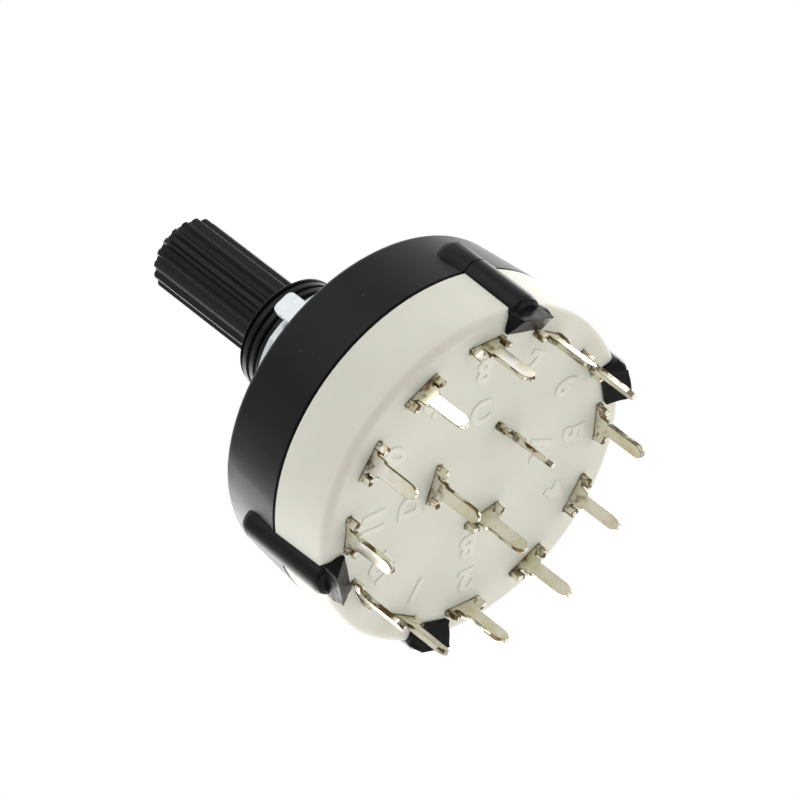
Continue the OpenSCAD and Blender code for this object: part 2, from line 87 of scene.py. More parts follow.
camera = new_object("camera", bpy.data.cameras.new("camera"))
camera.data.lens = LENS
camera.data.clip_start = 10 * MM
turned = Matrix((right, up, -view)).transposed().to_4x4()
camera.matrix_world = Matrix.Translation(AIM - view * DISTANCE) @ turned
bpy.context.scene.camera = camera


# Cover
# The black shell with the bushing, ribs and legs, moulded in one piece in glass-filled thermoplastic. The
# legs run down over the base and are staked behind it. The thread is cut into a copy of the solid.
def linear(hex_colour):
    """Linear RGBA of an sRGB colour such as "#37373a"."""
    parts = [int(hex_colour[i:i + 2], 16) / 255 for i in (1, 3, 5)]
    return tuple(c / 12.92 if c <= 0.04045 else ((c + 0.055) / 1.055) ** 2.4 for c in parts) + (1.0,)


def add(tree, kind, inputs=None, **settings):
    """Adds a node with its settings, and sets or links its inputs by name or number."""
    made = tree.nodes.new(kind)
    for key, value in settings.items():
        setattr(made, key, value)
    for key, value in (inputs or {}).items():
        if isinstance(value, bpy.types.NodeSocket):
            tree.links.new(value, made.inputs[key])
        else:
            made.inputs[key].default_value = value
    return made


def start_material(name):
    """A material with an empty tree, and that tree."""
    made = bpy.data.materials.new(name)
    made.use_nodes = True
    made.node_tree.nodes.clear()
    return made, made.node_tree


def grain(size_mm):
    """Noise scale in cycles a metre for a pattern of this size."""
    return 1000 / size_mm


def set_ramp(ramp, low, low_value, high, high_value):
    """Sets both ends of a colour ramp."""
    for stop, place, value in zip(ramp.color_ramp.elements, (low, high), (low_value, high_value)):
        stop.position = place
        stop.color = linear(value) if isinstance(value, str) else (value, value, value, 1.0)


# Satin black thermoplastic: a fine eroded mould surface breaks the highlight, and glass fibre greys it a
# little, with a few grains of dust
black_moulding, tree = start_material("black_glass_filled_thermoplastic")
place = add(tree, "ShaderNodeTexCoord").outputs["Object"]
flow = add(tree, "ShaderNodeTexNoise", {"Vector": place, "Scale": grain(3.5), "Detail": 3.0})
tone = add(tree, "ShaderNodeValToRGB", {"Fac": flow.outputs["Fac"]})
set_ramp(tone, 0.3, "#111113", 0.7, "#161618")
dust_field = add(tree, "ShaderNodeTexNoise", {"Vector": place, "Scale": grain(0.35), "Detail": 0.0})
dust_mask = add(tree, "ShaderNodeValToRGB", {"Fac": dust_field.outputs["Fac"]})
set_ramp(dust_mask, 0.86, 0.0, 0.89, 1.0)
colour = add(tree, "ShaderNodeMix", {
    "Factor": dust_mask.outputs["Color"], "A": tone.outputs["Color"], "B": linear("#3c3c3e"),
}, data_type="RGBA")
pits = add(tree, "ShaderNodeTexNoise", {"Vector": place, "Scale": grain(0.12), "Detail": 2.0})
shine = add(tree, "ShaderNodeMapRange", {"Value": flow.outputs["Fac"], "To Min": 0.30, "To Max": 0.38})
rounded = add(tree, "ShaderNodeBevel", {"Radius": 0.07 * MM}, samples=6)
relief = add(tree, "ShaderNodeBump", {
    "Strength": 0.25, "Distance": 0.01 * MM, "Height": pits.outputs["Fac"],
    "Normal": rounded.outputs["Normal"],
})
skin = add(tree, "ShaderNodeBsdfPrincipled", {
    "Base Color": colour.outputs["Result"], "Roughness": shine.outputs["Result"], "IOR": 1.5,
    "Specular IOR Level": 0.13, "Normal": relief.outputs["Normal"],
})
add(tree, "ShaderNodeOutputMaterial", {"Surface": skin.outputs["BSDF"]})


# A helix of any round or pointed section, for the thread cutter here and for the detent springs
helix_tree = bpy.data.node_groups.new("helix", "GeometryNodeTree")
helix_inputs = {}
for label, kind in (
    ("Turns", "NodeSocketFloat"), ("Steps", "NodeSocketInt"), ("Radius", "NodeSocketFloat"),
    ("Height", "NodeSocketFloat"), ("Section radius", "NodeSocketFloat"),
    ("Section sides", "NodeSocketInt"), ("Material", "NodeSocketMaterial"),
):
    socket = helix_tree.interface.new_socket(label, in_out="INPUT", socket_type=kind)
    helix_inputs[label] = socket.identifier
helix_tree.interface.new_socket("Geometry", in_out="OUTPUT", socket_type="NodeSocketGeometry")
given = add(helix_tree, "NodeGroupInput").outputs
path = add(helix_tree, "GeometryNodeCurveSpiral", {
    "Resolution": given["Steps"], "Rotations": given["Turns"], "Start Radius": given["Radius"],
    "End Radius": given["Radius"], "Height": given["Height"],
})
steady = add(helix_tree, "GeometryNodeSetCurveNormal", {"Curve": path.outputs["Curve"]}, mode="Z_UP")
section = add(helix_tree, "GeometryNodeCurvePrimitiveCircle", {
    "Resolution": given["Section sides"], "Radius": given["Section radius"],
})
tube = add(helix_tree, "GeometryNodeCurveToMesh", {
    "Curve": steady.outputs["Curve"], "Profile Curve": section.outputs["Curve"], "Fill Caps": True,
})
real = add(helix_tree, "GeometryNodeRealizeInstances", {"Geometry": tube.outputs["Mesh"]})
dressed = add(helix_tree, "GeometryNodeSetMaterial", {
    "Geometry": real.outputs["Geometry"], "Material": given["Material"],
})
add(helix_tree, "NodeGroupOutput", {"Geometry": dressed.outputs["Geometry"]})


SAME_PLACE = 0.0001 * MM
FLAT_WITHIN = math.radians(0.5)


def plain_mesh(thing, name):
    """A plain mesh of the object as its modifiers leave it."""
    graph = bpy.context.evaluated_depsgraph_get()
    mesh = bpy.data.meshes.new_from_object(thing.evaluated_get(graph), depsgraph=graph)
    mesh.name = name
    return mesh


def helix_mesh(name, **sizes):
    """The mesh that the helix tree makes at these sizes, with its walls facing out."""
    thing = new_object(name, bpy.data.meshes.new(name))
    modifier = thing.modifiers.new("helix", "NODES")
    modifier.node_group = helix_tree
    for label, value in sizes.items():
        modifier[helix_inputs[label.replace("_", " ")]] = value
    mesh = plain_mesh(thing, name)
    bpy.data.objects.remove(thing)
    shape = bmesh.new()
    shape.from_mesh(mesh)
    bmesh.ops.remove_doubles(shape, verts=shape.verts, dist=SAME_PLACE)
    bmesh.ops.recalc_face_normals(shape, faces=shape.faces)
    shape.to_mesh(mesh)
    shape.free()
    return mesh


def add_piece(name, mesh, body, replaced=()):
    """Shows a mesh as a piece that rides on a body, and hides the nodes it replaces."""
    piece = new_object(name, mesh)
    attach(piece, body)
    if replaced:
        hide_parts(*replaced)


def merged_copy(name, *nodes):
    """One mesh of these nodes, with the loose triangles joined into flat faces."""
    shape = bmesh.new()
    for node in nodes:
        shape.from_mesh(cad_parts[node].data)
    bmesh.ops.remove_doubles(shape, verts=shape.verts, dist=SAME_PLACE)
    bmesh.ops.dissolve_limit(shape, angle_limit=FLAT_WITHIN, verts=shape.verts, edges=shape.edges)
    mesh = bpy.data.meshes.new(name)
    shape.to_mesh(mesh)
    shape.free()
    if "custom_normal" in mesh.attributes:
        mesh.attributes.remove(mesh.attributes["custom_normal"])
    return mesh


def smooth_by_angle(mesh, degrees):
    """Smooth shading with sharp edges wherever the surface turns by more than this."""
    mesh.shade_smooth()
    mesh.set_sharp_from_angle(angle=math.radians(degrees))


def even_shading(mesh, degrees):
    """The mesh without slivers, shaded so that large flat faces stay flat and narrow ones turn."""
    shape = bmesh.new()
    shape.from_mesh(mesh)
    bmesh.ops.remove_doubles(shape, verts=shape.verts, dist=SAME_PLACE)
    bmesh.ops.dissolve_degenerate(shape, edges=shape.edges, dist=SAME_PLACE)
    shape.to_mesh(mesh)
    shape.free()
    smooth_by_angle(mesh, degrees)
    thing = new_object("unweighed", mesh)
    weigh = thing.modifiers.new("weigh", "WEIGHTED_NORMAL")
    weigh.keep_sharp = True
    weighed = plain_mesh(thing, mesh.name)
    bpy.data.objects.remove(thing)
    return weighed


# The thread's cutter is an even triangle that points inwards and stands a little proud of the crests. Its
# whole turns begin inside the nut and end just below the rim, both on the +X side.
THREAD_PITCH = 0.75 * MM
BUSHING_R = 4.5 * MM
GROOVE_SIDE = 0.42 * MM
GROOVE_PROUD = 0.06 * MM
THREAD_FOOT = 2.83 * MM
THREAD_TURNS = 5.0
THREAD_STEPS = 72
groove_deep = GROOVE_SIDE * math.sqrt(3) / 2
groove = helix_mesh(
    "thread_cutter", Turns=THREAD_TURNS, Steps=THREAD_STEPS,
    Radius=BUSHING_R + GROOVE_PROUD - groove_deep / 3,
    Height=THREAD_TURNS * THREAD_PITCH, Section_radius=GROOVE_SIDE / math.sqrt(3), Section_sides=3,
    Material=black_moulding,
)
groove.transform(Matrix.Translation((0, 0, THREAD_FOOT)))

# One leg was bent a little where it leaves the ring, and a fine crease runs across its rib there
CREASED_LEG = math.radians(240)
RIB_R = 1.3 * MM
RIB_CENTRE_R = 13.05 * MM
CREASE_Z = -8.6 * MM
CREASE_DEEP = 0.13 * MM
CREASE_HALF = 0.08 * MM
CREASE_REACH = math.radians(78)
CREASE_STEPS = 32
wedge = bmesh.new()
profile = [wedge.verts.new((RIB_R + out, 0, CREASE_Z + rise)) for out, rise in (
    (-CREASE_DEEP, 0), (CREASE_HALF, -CREASE_HALF), (CREASE_HALF, CREASE_HALF),
)]
blade = wedge.faces.new(profile)
bmesh.ops.rotate(wedge, verts=wedge.verts, matrix=Matrix.Rotation(-CREASE_REACH, 3, "Z"))
bmesh.ops.spin(
    wedge, geom=[blade, *blade.edges, *blade.verts], axis=(0, 0, 1), angle=2 * CREASE_REACH,
    steps=CREASE_STEPS,
)
bmesh.ops.recalc_face_normals(wedge, faces=wedge.faces)
crease = bpy.data.meshes.new("crease_cutter")
wedge.to_mesh(crease)
wedge.free()
crease.transform(Matrix.Rotation(CREASED_LEG, 4, "Z") @ Matrix.Translation((RIB_CENTRE_R, 0, 0)))

shell = new_object("shell", merged_copy("shell", "cover"))
shell.data.materials.append(black_moulding)
cutters = [new_object(tool.name, tool) for tool in (groove, crease)]
for cutter in cutters:
    cut = shell.modifiers.new(cutter.name, "BOOLEAN")
    cut.object = cutter
    cut.operation = "DIFFERENCE"
    cut.solver = "EXACT"
cover_mesh = plain_mesh(shell, "cover_moulding")
for thing in (shell, *cutters):
    bpy.data.objects.remove(thing)

# The tool that stakes the legs leaves their ends a little lumpy: their large faces behind the base are cut
# finer and sunk by a noise, none at all at first and fully from twice LUMP_START behind the base
LUMP_SIZE = 0.5 * MM
LUMP_DEEP = 0.14 * MM
LUMP_START = 0.25 * MM
LUMP_CUTS = 5
LARGE_FACE = 0.15 * MM ** 2
COVER_SHARP = 30
back_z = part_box("base")[0].z
shape = bmesh.new()
shape.from_mesh(cover_mesh)
behind_base = [face for face in shape.faces if face.calc_center_median().z < back_z]
staked = [face for face in behind_base if face.calc_area() > LARGE_FACE]
staked = bmesh.ops.triangulate(shape, faces=staked)["faces"]
ridges = list({edge for face in staked for edge in face.edges})
bmesh.ops.subdivide_edges(shape, edges=ridges, cuts=LUMP_CUTS, use_grid_fill=True)
shape.normal_update()
for vert in shape.verts:
    behind = back_z - LUMP_START - vert.co.z
    if behind > 0:
        lump = 0.5 + 0.5 * noise.noise(vert.co / LUMP_SIZE)
        vert.co -= vert.normal * min(behind / LUMP_START, 1) * LUMP_DEEP * lump
shape.to_mesh(cover_mesh)
shape.free()
cover_mesh = even_shading(cover_mesh, COVER_SHARP)
add_piece("cover_moulding", cover_mesh, "body", ["cover"])


# Base
# The off-white floor of the switch, moulded in polyamide, with a slot for each contact. It is dropped into
# the cover and held by the staked legs. Its solid is right, so it only gets its finish.

# Off-white polyamide: satin, a little light spreads in it, and pale grey specks break its even tone
white_moulding, tree = start_material("off_white_polyamide")
place = add(tree, "ShaderNodeTexCoord").outputs["Object"]
flow = add(tree, "ShaderNodeTexNoise", {
    "Vector": place, "Scale": grain(5), "Detail": 4.0, "Roughness": 0.6,
})
tone = add(tree, "ShaderNodeValToRGB", {"Fac": flow.outputs["Fac"]})
set_ramp(tone, 0.3, "#e5e3d6", 0.7, "#ebe9dd")
speck_field = add(tree, "ShaderNodeTexNoise", {"Vector": place, "Scale": grain(0.36), "Detail": 0.0})
speck_mask = add(tree, "ShaderNodeValToRGB", {"Fac": speck_field.outputs["Fac"]})
set_ramp(speck_mask, 0.88, 0.0, 0.9, 1.0)
colour = add(tree, "ShaderNodeMix", {
    "Factor": speck_mask.outputs["Color"], "A": tone.outputs["Color"], "B": linear("#bdb9ae"),
}, data_type="RGBA")
pits = add(tree, "ShaderNodeTexNoise", {"Vector": place, "Scale": grain(0.25), "Detail": 3.0})
shine = add(tree, "ShaderNodeMapRange", {"Value": flow.outputs["Fac"], "To Min": 0.42, "To Max": 0.54})
rounded = add(tree, "ShaderNodeBevel", {"Radius": 0.07 * MM}, samples=6)
relief = add(tree, "ShaderNodeBump", {
    "Strength": 0.2, "Distance": 0.012 * MM, "Height": pits.outputs["Fac"],
    "Normal": rounded.outputs["Normal"],
})
skin = add(tree, "ShaderNodeBsdfPrincipled", {
    "Base Color": colour.outputs["Result"], "Roughness": shine.outputs["Result"], "IOR": 1.53,
    "Specular IOR Level": 0.08, "Subsurface Weight": 0.15, "Subsurface Scale": 1.2 * MM,
    "Normal": relief.outputs["Normal"],
})
add(tree, "ShaderNodeOutputMaterial", {"Surface": skin.outputs["BSDF"]})


def finish_node(node, material):
    """Gives a node of the model a material in place of its own."""
    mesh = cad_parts[node].data
    mesh.materials.clear()
    mesh.materials.append(material)


finish_node("base", white_moulding)


# Moulded marks
# Raised numbers beside the twelve outer pins and letters beside the commons, part of the base's moulding,
# with low and rounded strokes. Their tops point outwards, and they read from behind.
NUMBER_R = 9.05 * MM
MARK_HEIGHT = 1.9 * MM
MARK_ROUND = 0.14 * MM
MARK_WALL = 0.03 * MM
MARK_FLAT = 0.5
MARK_SHARP = 40
FONT_CAP = 0.73
FIRST_PIN = 75
PIN_STEP = 30
marks = [(str(n + 1), FIRST_PIN - n * PIN_STEP, NUMBER_R) for n in range(12)]
marks += [("A", 315, 6.0 * MM), ("B", 45, 6.0 * MM), ("C", 225, 5.45 * MM), ("D", 135, 5.8 * MM)]

# A paler copy of the same polyamide for the marks. Its paler tone is a painted highlight on the strokes,
# and the strokes are too thin for light to spread in
painted_highlight_marks = white_moulding.copy()
painted_highlight_marks.name = "off_white_polyamide_marks_painted_highlight"
set_ramp(painted_highlight_marks.node_tree.nodes[tone.name], 0.3, "#ebe9dc", 0.7, "#f0eee2")
painted_highlight_marks.node_tree.nodes[skin.name].inputs["Subsurface Weight"].default_value = 0.0
strokes = bmesh.new()
for words, angle, radius in marks:
    lettering = bpy.data.curves.new("mark", "FONT")
    lettering.body = words
    lettering.size = MARK_HEIGHT / FONT_CAP
    lettering.align_x = "CENTER"
    lettering.align_y = "CENTER"
    lettering.extrude = MARK_WALL
    lettering.bevel_depth = MARK_ROUND
    lettering.bevel_resolution = 3
    written = new_object("mark", lettering)
    mesh = plain_mesh(written, "mark")
    bpy.data.objects.remove(written)
    turn = math.radians(angle)
    out = Vector((math.cos(turn), math.sin(turn), 0))
    along = Vector((-math.sin(turn), math.cos(turn), 0))
    middle = out * radius + Vector((0, 0, back_z))
    axes = Matrix((along, out, Vector((0, 0, -MARK_FLAT)))).transposed().to_4x4()
    mesh.transform(Matrix.Translation(middle) @ axes)
    strokes.from_mesh(mesh)
    bpy.data.meshes.remove(mesh)
bmesh.ops.remove_doubles(strokes, verts=strokes.verts, dist=SAME_PLACE)
bmesh.ops.recalc_face_normals(strokes, faces=strokes.faces)
mark_mesh = bpy.data.meshes.new("moulded_marks")
strokes.to_mesh(mark_mesh)
strokes.free()
smooth_by_angle(mark_mesh, MARK_SHARP)
# The marks take the paler copy, a painted highlight that makes them read brighter than the face
mark_mesh.materials.append(painted_highlight_marks)
add_piece("moulded_marks", mark_mesh, "body")


# Spindle
# One black moulding: the knurled shaft, the journal in the bushing, and the rotor disc inside the body. Its
# solid is right down to the knurl, so it only gets its finish.

# Black acetal: darker than the cover, with a grain along the shaft and paler flanks that mirror the room
black_spindle, tree = start_material("black_acetal")
place = add(tree, "ShaderNodeTexCoord").outputs["Object"]
stretched = add(tree, "ShaderNodeMapping", {"Vector": place, "Scale": (1.0, 1.0, 0.12)})
flow = add(tree, "ShaderNodeTexNoise", {
    "Vector": stretched.outputs["Vector"], "Scale": grain(0.5), "Detail": 3.0,
})
tone = add(tree, "ShaderNodeValToRGB", {"Fac": flow.outputs["Fac"]})
set_ramp(tone, 0.3, "#090a0b", 0.7, "#0f1011")
shine = add(tree, "ShaderNodeMapRange", {"Value": flow.outputs["Fac"], "To Min": 0.36, "To Max": 0.5})
pits = add(tree, "ShaderNodeTexNoise", {"Vector": place, "Scale": grain(0.15), "Detail": 2.0})
rounded = add(tree, "ShaderNodeBevel", {"Radius": 0.08 * MM}, samples=6)
relief = add(tree, "ShaderNodeBump", {
    "Strength": 0.3, "Distance": 0.012 * MM, "Height": pits.outputs["Fac"],
    "Normal": rounded.outputs["Normal"],
})
skin = add(tree, "ShaderNodeBsdfPrincipled", {
    "Base Color": tone.outputs["Color"], "Roughness": shine.outputs["Result"], "IOR": 1.48,
    "Specular IOR Level": 0.19, "Normal": relief.outputs["Normal"],
})
add(tree, "ShaderNodeOutputMaterial", {"Surface": skin.outputs["BSDF"]})
finish_node("spindle", black_spindle)


# Nut and washers
# A turned hexagon nut, a shakeproof washer and a stamped locating washer, all in nickel-plated steel. They
# are slipped over the bushing and screwed tight on the boss. Their solids are right.

# Bright nickel on steel: pale and cool, with fine lines from turning and stamping that blur what it mirrors
nickel, tree = start_material("bright_nickel_plated_steel")
place = add(tree, "ShaderNodeTexCoord").outputs["Object"]
stretched = add(tree, "ShaderNodeMapping", {"Vector": place, "Scale": (1.0, 1.0, 6.0)})
lines = add(tree, "ShaderNodeTexNoise", {
    "Vector": stretched.outputs["Vector"], "Scale": grain(0.9), "Detail": 5.0,
})
tone = add(tree, "ShaderNodeValToRGB", {"Fac": lines.outputs["Fac"]})
set_ramp(tone, 0.3, "#a9adaf", 0.7, "#bdc1c3")
shine = add(tree, "ShaderNodeMapRange", {"Value": lines.outputs["Fac"], "To Min": 0.24, "To Max": 0.44})
rounded = add(tree, "ShaderNodeBevel", {"Radius": 0.06 * MM}, samples=6)
relief = add(tree, "ShaderNodeBump", {
    "Strength": 0.15, "Distance": 0.01 * MM, "Height": lines.outputs["Fac"],
    "Normal": rounded.outputs["Normal"],
})
skin = add(tree, "ShaderNodeBsdfPrincipled", {
    "Base Color": tone.outputs["Color"], "Metallic": 1.0, "Roughness": shine.outputs["Result"],
    "Normal": relief.outputs["Normal"],
})
add(tree, "ShaderNodeOutputMaterial", {"Surface": skin.outputs["BSDF"]})
for node in ("hex_nut", "lock_washer", "tab_washer"):
    finish_node(node, nickel)


# Contacts
# Fifteen contacts stamped from brass strip, coined along their edges, and then tinned all over. Each head
# is pushed through its slot in the base, and its two ears are twisted to lock it.
COINED_EDGE = 0.06 * MM
COINED_CORNER = math.radians(30)
CONTACT_SHARP = 50
SHEARED_FACING = 0.6

# Tin on brass: pale and glossy with rolling lines, stained yellow by flux and handling, and browned in
# spots near the base. The brown is partly the real browning of the heads and partly painted shade in the
# corners where each head enters its slot
tinned_brass, tree = start_material("tinned_brass_strip")
place = add(tree, "ShaderNodeTexCoord").outputs["Object"]
stain = add(tree, "ShaderNodeTexNoise", {
    "Vector": place, "Scale": grain(2.2), "Detail": 3.0, "Roughness": 0.6,
})
tin = add(tree, "ShaderNodeValToRGB", {"Fac": stain.outputs["Fac"]})
set_ramp(tin, 0.42, "#f3efe4", 0.66, "#dcd6b2")
level = add(tree, "ShaderNodeSeparateXYZ", {0: place}).outputs["Z"]
# Brown spots at full strength within 0.7 mm of the base and none beyond 1.6 mm: real browning, with painted
# shade at the slots
near_slot = add(tree, "ShaderNodeMapRange", {
    "Value": level, "From Min": back_z - 1.6 * MM, "From Max": back_z - 0.7 * MM,
})
brown_spot_field = add(tree, "ShaderNodeTexNoise", {"Vector": place, "Scale": grain(0.9), "Detail": 2.0})
brown_spots = add(tree, "ShaderNodeValToRGB", {"Fac": brown_spot_field.outputs["Fac"]})
set_ramp(brown_spots, 0.53, 0.0, 0.68, 0.85)
browning_and_slot_shade = add(tree, "ShaderNodeMath", {
    0: near_slot.outputs["Result"], 1: brown_spots.outputs["Color"],
}, operation="MULTIPLY")
colour = add(tree, "ShaderNodeMix", {
    "Factor": browning_and_slot_shade.outputs["Value"], "A": tin.outputs["Color"], "B": linear("#7c5c38"),
}, data_type="RGBA")
rolled = add(tree, "ShaderNodeMapping", {"Vector": place, "Scale": (1.0, 1.0, 0.12)})
lines = add(tree, "ShaderNodeTexNoise", {
    "Vector": rolled.outputs["Vector"], "Scale": grain(0.15), "Detail": 3.0,
})
ripples = add(tree, "ShaderNodeTexNoise", {"Vector": place, "Scale": grain(0.7), "Detail": 1.0})
height = add(tree, "ShaderNodeMix", {
    "Factor": 0.35, "A": ripples.outputs["Fac"], "B": lines.outputs["Fac"],
})
shine = add(tree, "ShaderNodeMapRange", {"Value": stain.outputs["Fac"], "To Min": 0.16, "To Max": 0.42})
relief = add(tree, "ShaderNodeBump", {
    "Strength": 0.35, "Distance": 0.03 * MM, "Height": height.outputs["Result"],
})
skin = add(tree, "ShaderNodeBsdfPrincipled", {
    "Base Color": colour.outputs["Result"], "Metallic": 1.0, "Roughness": shine.outputs["Result"],
    "Normal": relief.outputs["Normal"],
})
add(tree, "ShaderNodeOutputMaterial", {"Surface": skin.outputs["BSDF"]})

# The sheared edge of the strip: one part of its thickness is burnished, the rest tears and stays dull and
# brown, most of all on the short edges beside the slots, where the tin hardly takes
torn_brass, tree = start_material("sheared_brass")
place = add(tree, "ShaderNodeTexCoord").outputs["Object"]
drawn = add(tree, "ShaderNodeMapping", {"Vector": place, "Scale": (1.0, 1.0, 0.45)})
tear = add(tree, "ShaderNodeTexNoise", {
    "Vector": drawn.outputs["Vector"], "Scale": grain(0.7), "Detail": 4.0,
})
level = add(tree, "ShaderNodeSeparateXYZ", {0: place}).outputs["Z"]
short_edge = add(tree, "ShaderNodeMapRange", {
    "Value": level, "From Min": back_z - 1.2 * MM, "From Max": back_z - 0.9 * MM, "To Max": 0.045,
})
dull = add(tree, "ShaderNodeMath", {0: tear.outputs["Fac"], 1: short_edge.outputs["Result"]})
tone = add(tree, "ShaderNodeValToRGB", {"Fac": dull.outputs["Value"]})
set_ramp(tone, 0.5, "#e6e2cf", 0.58, "#685336")
shine = add(tree, "ShaderNodeMapRange", {
    "Value": dull.outputs["Value"], "From Min": 0.45, "From Max": 0.6, "To Min": 0.18, "To Max": 0.5,
})
relief = add(tree, "ShaderNodeBump", {
    "Strength": 0.5, "Distance": 0.04 * MM, "Height": tear.outputs["Fac"],
})
skin = add(tree, "ShaderNodeBsdfPrincipled", {
    "Base Color": tone.outputs["Color"], "Metallic": 1.0, "Roughness": shine.outputs["Result"],
    "Normal": relief.outputs["Normal"],
})
add(tree, "ShaderNodeOutputMaterial", {"Surface": skin.outputs["BSDF"]})

# The coined corners of the strip: painted shade in dark olive brown, which draws the thin dark lines along
# the rounded edges
coined_edge_shade, tree = start_material("coined_edge_painted_shade")
place = add(tree, "ShaderNodeTexCoord").outputs["Object"]
edge_tone_field = add(tree, "ShaderNodeTexNoise", {"Vector": place, "Scale": grain(1.1), "Detail": 4.0})
tone = add(tree, "ShaderNodeValToRGB", {"Fac": edge_tone_field.outputs["Fac"]})
set_ramp(tone, 0.4, "#a39a74", 0.62, "#54472c")
drag = add(tree, "ShaderNodeTexNoise", {"Vector": place, "Scale": grain(0.25), "Detail": 3.0})
shine = add(tree, "ShaderNodeMapRange", {"Value": edge_tone_field.outputs["Fac"], "To Min": 0.22, "To Max": 0.48})
relief = add(tree, "ShaderNodeBump", {
    "Strength": 0.4, "Distance": 0.02 * MM, "Height": drag.outputs["Fac"],
})
skin = add(tree, "ShaderNodeBsdfPrincipled", {
    "Base Color": tone.outputs["Color"], "Metallic": 1.0, "Roughness": shine.outputs["Result"],
    "Normal": relief.outputs["Normal"],
})
add(tree, "ShaderNodeOutputMaterial", {"Surface": skin.outputs["BSDF"]})


def tell_sheared(mesh):
    """Gives the second material to every face that turns away from its contact's broad face."""
    shape = bmesh.new()
    shape.from_mesh(mesh)
    left = set(shape.faces)
    while left:
        contact = [left.pop()]
        for face in contact:
            beside = {other for side in face.edges for other in side.link_faces if other in left}
            left -= beside
            contact.extend(beside)
        shown = [face for face in contact if face.calc_center_median().z < back_z]
        broad = max(shown, key=lambda face: face.calc_area()).normal.copy()
        for face in contact:
            face.material_index = int(abs(face.normal.dot(broad)) < SHEARED_FACING)
    shape.to_mesh(mesh)
    shape.free()


# The broad faces take the first material, the sheared edges the second and the coined corners the third,
# the painted edge shade
contact_nodes = [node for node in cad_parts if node.startswith(("terminal_", "common_"))]
strip = new_object("strip", merged_copy("strip", *contact_nodes))
for material in (tinned_brass, torn_brass, coined_edge_shade):
    strip.data.materials.append(material)
tell_sheared(strip.data)
coin = strip.modifiers.new("coin", "BEVEL")
# The coin's faces take the third material, the painted edge shade
coin.material = 2
coin.width = COINED_EDGE
coin.segments = 2
coin.limit_method = "ANGLE"
coin.angle_limit = COINED_CORNER
coin.use_clamp_overlap = True
contact_mesh = even_shading(plain_mesh(strip, "tinned_contacts"), CONTACT_SHARP)
bpy.data.objects.remove(strip)
add_piece("tinned_contacts", contact_mesh, "body", contact_nodes)


# Wipers
# Three strips of phosphor bronze under the rotor, each on two headed posts, bridging a common's arc and an
# outer pad. They can't be seen, and their solids are right.

# Rolled phosphor bronze: warm and reddish, with a fine haze over its gloss
bronze, tree = start_material("rolled_phosphor_bronze")
place = add(tree, "ShaderNodeTexCoord").outputs["Object"]
haze = add(tree, "ShaderNodeTexNoise", {"Vector": place, "Scale": grain(0.6), "Detail": 5.0})
tone = add(tree, "ShaderNodeValToRGB", {"Fac": haze.outputs["Fac"]})
set_ramp(tone, 0.3, "#b98a55", 0.7, "#d3a56c")
shine = add(tree, "ShaderNodeMapRange", {"Value": haze.outputs["Fac"], "To Min": 0.22, "To Max": 0.38})
skin = add(tree, "ShaderNodeBsdfPrincipled", {
    "Base Color": tone.outputs["Color"], "Metallic": 1.0, "Roughness": shine.outputs["Result"],
})
add(tree, "ShaderNodeOutputMaterial", {"Surface": skin.outputs["BSDF"]})
for letter in "abc":
    finish_node("wiper_" + letter, bronze)


# Detent balls and springs
# Two polished steel balls in the rotor disc, each pushed into the cover's notches by a coil spring of
# hard-drawn wire. The springs are wound here as smooth coils in place of the solids' facets.
SPRING_TURNS = 5.0
SPRING_STEPS = 24
SPRING_SHARP = 60
WIRE_D = 0.3 * MM
WIRE_SIDES = 12

# Polished bearing steel: a cool mirror with a slight haze
ball_steel, tree = start_material("polished_bearing_steel")
place = add(tree, "ShaderNodeTexCoord").outputs["Object"]
haze = add(tree, "ShaderNodeTexNoise", {"Vector": place, "Scale": grain(0.8), "Detail": 4.0})
tone = add(tree, "ShaderNodeValToRGB", {"Fac": haze.outputs["Fac"]})
set_ramp(tone, 0.3, "#b8babd", 0.7, "#cdcfd1")
shine = add(tree, "ShaderNodeMapRange", {"Value": haze.outputs["Fac"], "To Min": 0.08, "To Max": 0.18})
skin = add(tree, "ShaderNodeBsdfPrincipled", {
    "Base Color": tone.outputs["Color"], "Metallic": 1.0, "Roughness": shine.outputs["Result"],
})
add(tree, "ShaderNodeOutputMaterial", {"Surface": skin.outputs["BSDF"]})
for letter, side in (("a", 1), ("b", -1)):
    finish_node("detent_ball_" + letter, ball_steel)
    low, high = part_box("detent_spring_" + letter)
    inner_end = (low.x if side > 0 else high.x) + side * WIRE_D / 2
    spring = helix_mesh(
        "detent_spring_" + letter, Turns=SPRING_TURNS, Steps=SPRING_STEPS,
        Radius=(high.z - low.z - WIRE_D) / 2, Height=high.x - low.x - WIRE_D,
        Section_radius=WIRE_D / 2, Section_sides=WIRE_SIDES, Material=ball_steel,
    )
    foot = Matrix.Translation((inner_end, 0, (low.z + high.z) / 2))
    spring.transform(foot @ Matrix.Rotation(side * math.pi / 2, 4, "Y"))
    smooth_by_angle(spring, SPRING_SHARP)
    add_piece("coil_spring_" + letter, spring, "rotor", ["detent_spring_" + letter])


# Studio
# A plain pale floor at the pins' tips, seen only from above, a white sweep behind the switch, and soft
# panels of light around it. The floor takes shadows but throws none and hides no light.
FLOOR_HALF = 400 * MM
floor_z = cad_box[0][2]

